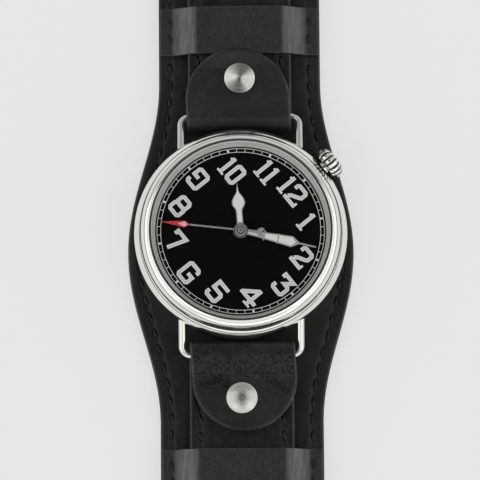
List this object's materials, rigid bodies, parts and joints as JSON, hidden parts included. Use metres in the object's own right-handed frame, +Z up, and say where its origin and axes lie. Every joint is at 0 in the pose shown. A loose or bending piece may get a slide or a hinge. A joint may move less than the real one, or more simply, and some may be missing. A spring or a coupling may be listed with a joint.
{
  "type": "pilot watch",
  "caption": "Round steel pilot watch with wire lugs and a fluted crown, on a black leather strap threaded through a wide waisted cuff pad, laid flat with the dial up.",
  "frame": {"origin": "on the underside of the leather pad, under the centre of the dial", "axes": "+X to the right across the strap, +Y along the strap towards the buckle, +Z up out of the dial"},
  "size_m": [0.0434, 0.2525, 0.0137],
  "materials": {
    "case_steel": "polished stainless steel",
    "crystal_glass": "clear domed crystal",
    "dial_black": "satin black",
    "hand_steel": "polished steel",
    "second_hand_steel": "steel with a red painted tip",
    "lume": "pale light paint",
    "seal_rubber": "black rubber",
    "pad_leather": "smooth black leather",
    "strap_leather": "smooth black leather",
    "movement_plate": "nickel plated brass",
    "gear_brass": "gilt brass",
    "gear_steel": "polished steel"
  },
  "bodies": {
    "pad": {"pad_lining": "pad_leather", "pad_top": "pad_leather", "pad_band_top": "pad_leather", "pad_band_bottom": "pad_leather"},
    "watch": {"case_middle": "case_steel", "bezel": "case_steel", "crystal": "crystal_glass", "crystal_gasket": "seal_rubber", "inner_ring": "case_steel", "dial": "dial_black", "case_back": "case_steel", "case_back_gasket": "seal_rubber", "movement_holder": "movement_plate", "crown_tube": "case_steel", "lug_wire_top": "case_steel", "lug_wire_bottom": "case_steel", "main_plate": "movement_plate", "barrel_bridge": "movement_plate", "train_bridge": "movement_plate", "balance_cock": "movement_plate", "hairspring": "gear_steel", "strap_buckle_side": "strap_leather", "strap_tail_side": "strap_leather", "stud_top": "case_steel", "stud_bottom": "case_steel", "stud_base_top": "case_steel", "stud_base_bottom": "case_steel", "fixed_keeper": "strap_leather", "buckle_bar": "case_steel"},
    "winding": {"winding_pinion": "gear_steel"},
    "crown": {"crown": "case_steel", "crown_gasket": "seal_rubber", "winding_stem": "gear_steel"},
    "sliding_pinion": {"sliding_pinion": "gear_steel"},
    "crown_wheel": {"crown_wheel": "gear_steel"},
    "ratchet": {"ratchet_wheel": "gear_steel"},
    "barrel": {"barrel": "gear_brass"},
    "minute": {"center_wheel": "gear_brass", "cannon_pinion": "gear_steel", "minute_hand": "hand_steel", "minute_hand_lume": "lume"},
    "minute_wheel": {"minute_wheel": "gear_brass"},
    "hour": {"hour_wheel": "gear_brass", "hour_hand": "hand_steel", "hour_hand_lume": "lume"},
    "third_wheel": {"third_wheel": "gear_brass"},
    "seconds": {"fourth_wheel": "gear_brass", "second_hand": "second_hand_steel", "second_hand_lume": "lume"},
    "escape_wheel": {"escape_wheel": "gear_steel"},
    "pallet_fork": {"pallet_fork": "gear_steel"},
    "balance": {"balance_wheel": "gear_brass"},
    "buckle_frame": {"buckle_frame": "case_steel"},
    "buckle_tongue": {"buckle_tongue": "case_steel"},
    "free_keeper": {"free_keeper": "strap_leather"}
  },
  "joints": [
    {"name": "watch_slide", "type": "slide", "parent": "pad", "child": "watch", "axis": [0, 1, 0], "range_m": [-0.0032, 0]},
    {"name": "crown_turn", "type": "hinge", "parent": "watch", "child": "winding", "pos_m": [0, 0, 0.0069], "axis": [0.7826, 0.6225, 0], "continuous": true},
    {"name": "crown_pull", "type": "slide", "parent": "winding", "child": "crown", "axis": [0.7826, 0.6225, 0], "range_m": [0, 0.0012]},
    {"name": "sliding_pinion_shift", "type": "slide", "parent": "winding", "child": "sliding_pinion", "axis": [0.7826, 0.6225, 0], "range_m": [-0.0006, 0]},
    {"name": "crown_wheel_turn", "type": "hinge", "parent": "watch", "child": "crown_wheel", "pos_m": [0.00587, 0.00467, 0.005], "axis": [0, 0, 1], "continuous": true},
    {"name": "ratchet_turn", "type": "hinge", "parent": "watch", "child": "ratchet", "pos_m": [-0.00066, 0.00563, 0.0048], "axis": [0, 0, 1], "continuous": true},
    {"name": "second_hand_turn", "type": "hinge", "parent": "watch", "child": "seconds", "pos_m": [0, 0, 0.0116], "axis": [0, 0, -1], "continuous": true},
    {"name": "third_wheel_turn", "type": "hinge", "parent": "watch", "child": "third_wheel", "pos_m": [0.00338, -0.00195, 0.0064], "axis": [0, 0, -1], "continuous": true},
    {"name": "minute_hand_turn", "type": "hinge", "parent": "watch", "child": "minute", "pos_m": [0, 0, 0.0113], "axis": [0, 0, -1], "continuous": true},
    {"name": "minute_wheel_turn", "type": "hinge", "parent": "watch", "child": "minute_wheel", "pos_m": [-0.00336, 0, 0.0092], "axis": [0, 0, -1], "continuous": true},
    {"name": "hour_hand_turn", "type": "hinge", "parent": "watch", "child": "hour", "pos_m": [0, 0, 0.0109], "axis": [0, 0, -1], "continuous": true},
    {"name": "barrel_turn", "type": "hinge", "parent": "watch", "child": "barrel", "pos_m": [-0.00066, 0.00563, 0.0072], "axis": [0, 0, -1], "continuous": true},
    {"name": "escape_wheel_turn", "type": "hinge", "parent": "watch", "child": "escape_wheel", "pos_m": [-0.00306, -0.00215, 0.0069], "axis": [0, 0, 1], "continuous": true},
    {"name": "pallet_fork_rock", "type": "hinge", "parent": "watch", "child": "pallet_fork", "pos_m": [-0.00216, -0.00474, 0.0069], "axis": [0, 0, 1], "range_deg": [-5, 5]},
    {"name": "balance_swing", "type": "hinge", "parent": "watch", "child": "balance", "pos_m": [-0.00077, -0.00877, 0.0074], "axis": [0, 0, 1], "range_deg": [-220, 220], "stiffness_Nm_per_rad": 0.0000001},
    {"name": "buckle_swing", "type": "hinge", "parent": "watch", "child": "buckle_frame", "pos_m": [0, 0.0981, 0.0022], "axis": [1, 0, 0], "range_deg": [0, 60]},
    {"name": "tongue_swing", "type": "hinge", "parent": "buckle_frame", "child": "buckle_tongue", "pos_m": [0, 0.0981, 0.0022], "axis": [1, 0, 0], "range_deg": [0, 55]},
    {"name": "free_keeper_slide", "type": "slide", "parent": "watch", "child": "free_keeper", "axis": [0, 1, 0], "range_m": [-0.005, 0.005]}
  ],
  "couplings": [
    {"joint": "sliding_pinion_shift", "follows": "crown_pull", "ratio": -0.5},
    {"joint": "crown_wheel_turn", "follows": "crown_turn", "ratio": 0.43333},
    {"joint": "ratchet_turn", "follows": "crown_turn", "ratio": -0.36111},
    {"joint": "third_wheel_turn", "follows": "second_hand_turn", "ratio": -0.13333},
    {"joint": "minute_hand_turn", "follows": "second_hand_turn", "ratio": 0.016667},
    {"joint": "minute_wheel_turn", "follows": "second_hand_turn", "ratio": -0.0055556},
    {"joint": "hour_hand_turn", "follows": "second_hand_turn", "ratio": 0.0013889},
    {"joint": "barrel_turn", "follows": "second_hand_turn", "ratio": -0.0020833}
  ]
}
